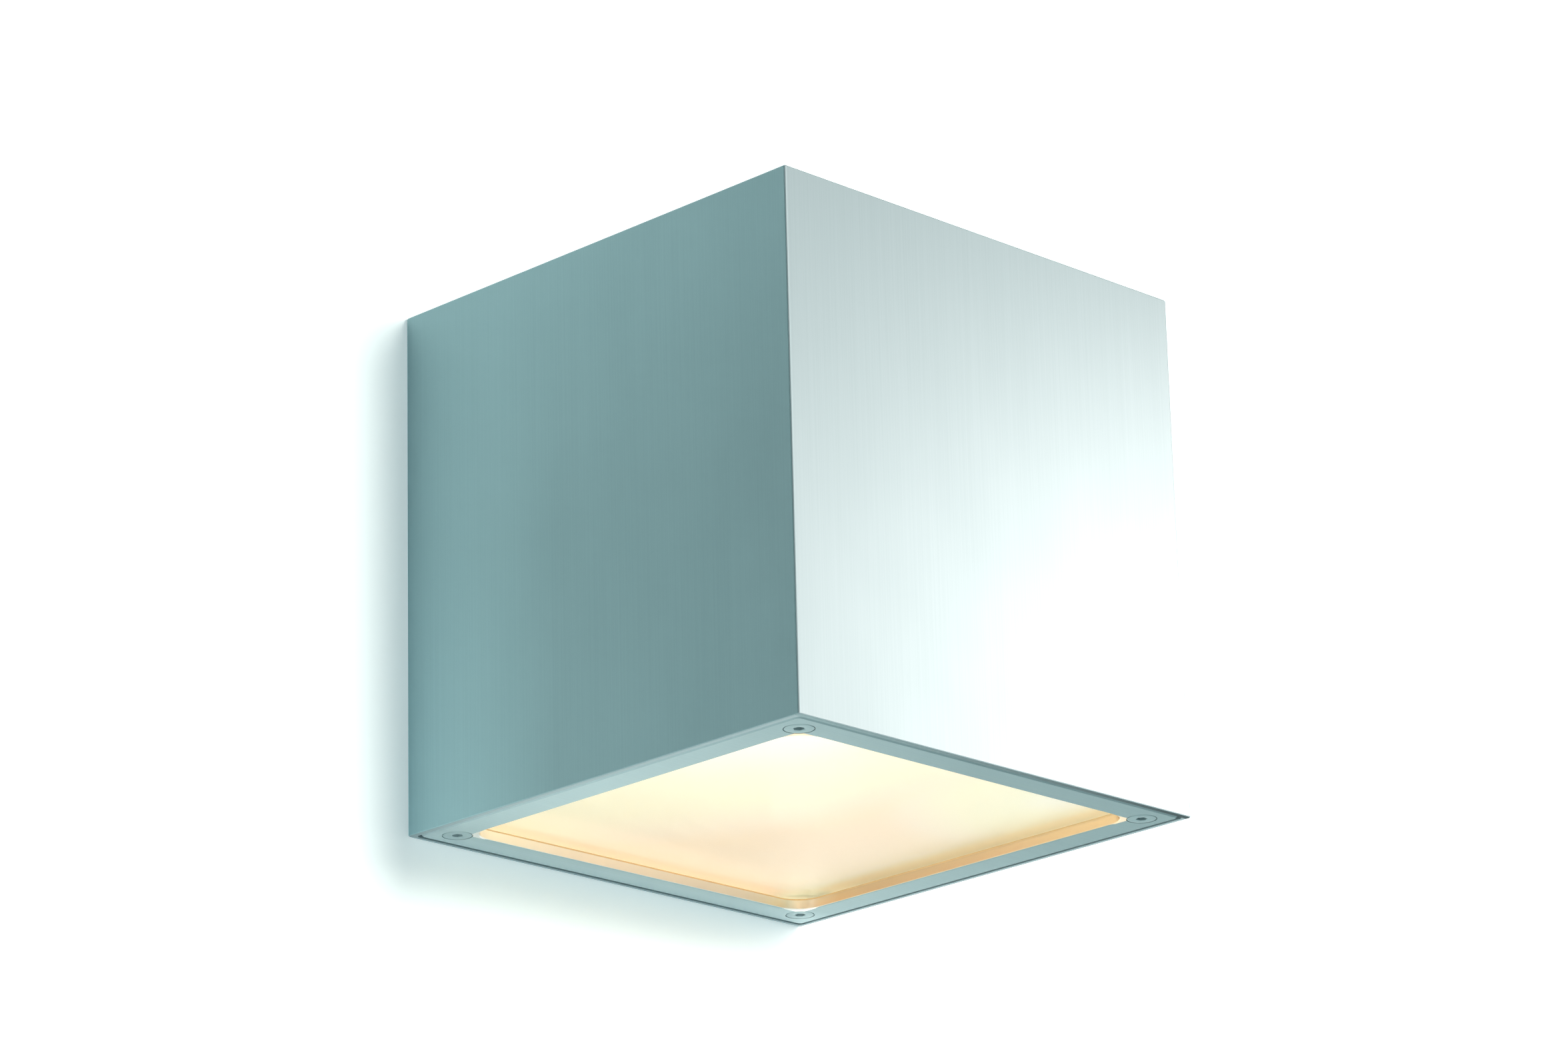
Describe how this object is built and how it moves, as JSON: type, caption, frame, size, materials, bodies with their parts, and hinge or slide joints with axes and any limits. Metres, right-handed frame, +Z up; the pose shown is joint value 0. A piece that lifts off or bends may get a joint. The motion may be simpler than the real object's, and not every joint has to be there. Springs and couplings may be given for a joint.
{
  "type": "wall light",
  "caption": "Cube-shaped wall light that shines down: a square metal housing hung on a wall bracket, with a framed satin glass let into its underside.",
  "frame": {"origin": "middle of the square back face, on the wall", "axes": "+Y into the wall, +Z up, X across the wall; the light comes out towards -Z"},
  "size_m": [0.11, 0.11, 0.11],
  "materials": {
    "anodised_aluminium": "satin anodised, fine grain along the extrusion",
    "reflector_sheet": "bright rolled sheet",
    "zinc_plated_steel": "zinc plated, matt",
    "stainless_steel": "turned stainless steel",
    "brass": "plain brass",
    "nickel_wire": "nickel plated spring strip and wire",
    "silicone": "translucent grey silicone",
    "black_rubber": "matt black rubber",
    "polyamide": "moulded off-white polyamide",
    "steatite": "unglazed white ceramic",
    "wire_sleeve": "glass fibre sleeve soaked in silicone",
    "satin_glass": "satin etched, lit from behind",
    "clear_glass": "clear fire-polished glass"
  },
  "bodies": {
    "bracket": {"wall_bracket": "zinc_plated_steel", "cable_grommet": "black_rubber", "terminal_block": "polyamide", "terminal_clamps": "brass", "clamp_screws": "zinc_plated_steel", "block_screw": "stainless_steel", "earth_screw": "brass", "earth_washer": "brass", "lamp_arm": "zinc_plated_steel", "arm_screws": "stainless_steel", "reflector": "reflector_sheet", "reflector_rivets": "reflector_sheet", "lampholder": "steatite", "lamp_contacts": "nickel_wire", "holder_screws": "stainless_steel", "live_wire": "wire_sleeve", "neutral_wire": "wire_sleeve"},
    "housing": {"housing_tube": "anodised_aluminium", "top_plate": "anodised_aluminium", "top_gasket": "silicone", "top_screws": "stainless_steel", "wall_seal": "black_rubber", "fixing_angle": "zinc_plated_steel", "angle_rivets": "reflector_sheet", "fixing_screws": "stainless_steel", "fixing_nuts": "zinc_plated_steel"},
    "diffuser": {"glass_frame": "anodised_aluminium", "glass_bead": "silicone", "diffuser_glass": "satin_glass", "frame_gasket": "silicone", "frame_screws": "stainless_steel"},
    "lamp": {"lamp_base": "clear_glass", "lamp_envelope": "clear_glass", "lamp_pins": "nickel_wire", "filament": "nickel_wire"}
  },
  "joints": [
    {"name": "housing_off", "type": "slide", "parent": "bracket", "child": "housing", "axis": [0, -1, 0], "range_m": [0, 0.115]},
    {"name": "diffuser_off", "type": "slide", "parent": "housing", "child": "diffuser", "axis": [0, 0, -1], "range_m": [0, 0.04]},
    {"name": "lamp_pull", "type": "slide", "parent": "bracket", "child": "lamp", "axis": [0, 0, -1], "range_m": [0, 0.013]}
  ]
}
